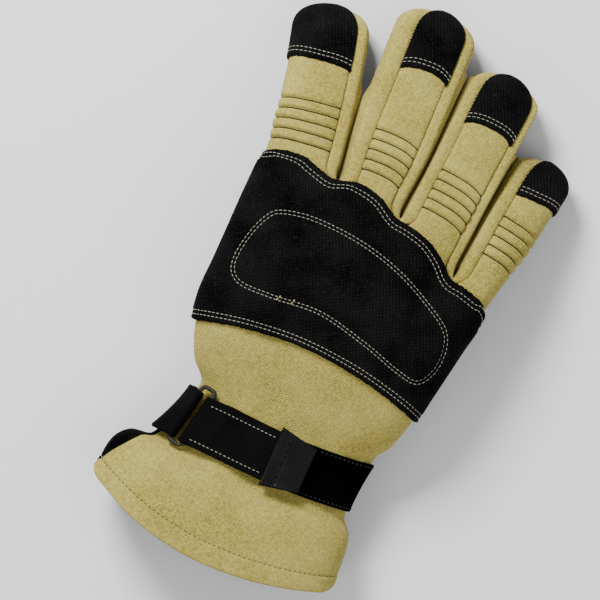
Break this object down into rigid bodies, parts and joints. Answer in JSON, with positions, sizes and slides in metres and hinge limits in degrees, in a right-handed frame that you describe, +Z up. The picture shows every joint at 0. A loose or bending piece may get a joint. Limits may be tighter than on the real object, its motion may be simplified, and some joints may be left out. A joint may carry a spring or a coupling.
{
  "type": "firefighter glove",
  "caption": "Right-hand structural firefighting glove lying palm down: tan cloth shell, black padded knuckle guard, finger caps and palm, wrist strap with ring and pull tab",
  "frame": {"origin": "centre of the glove's footprint, on the surface that it lies on", "axes": "+Z is up out of the back of the hand, +Y runs from the cuff to the fingertips, +X is towards the little finger"},
  "size_m": [0.1746, 0.3256, 0.0631],
  "materials": {
    "shell_cloth": "tan aramid twill",
    "black_knit": "black napped knit",
    "webbing": "black woven webbing",
    "olive_metal": "olive coated steel",
    "dark_rubber": "dark grey rubber"
  },
  "bodies": {
    "root": {"back_panel": "shell_cloth", "fourchette_index_middle": "shell_cloth", "fourchette_middle_ring": "shell_cloth", "fourchette_ring_little": "shell_cloth", "palm_panel": "black_knit", "finger_back_index": "shell_cloth", "finger_back_middle": "shell_cloth", "finger_back_ring": "shell_cloth", "finger_back_little": "shell_cloth", "finger_front_index": "black_knit", "finger_front_middle": "black_knit", "finger_front_ring": "black_knit", "finger_front_little": "black_knit", "thumb_face": "black_knit", "thumb_side": "shell_cloth", "cuff_back": "shell_cloth", "cuff_palm": "black_knit", "knuckle_guard": "black_knit", "cap_index": "black_knit", "cap_middle": "black_knit", "cap_ring": "black_knit", "cap_little": "black_knit", "wrist_strap": "webbing", "anchor_loop": "webbing", "strap_ring": "olive_metal", "pull_tab": "dark_rubber"}
  },
  "joints": []
}
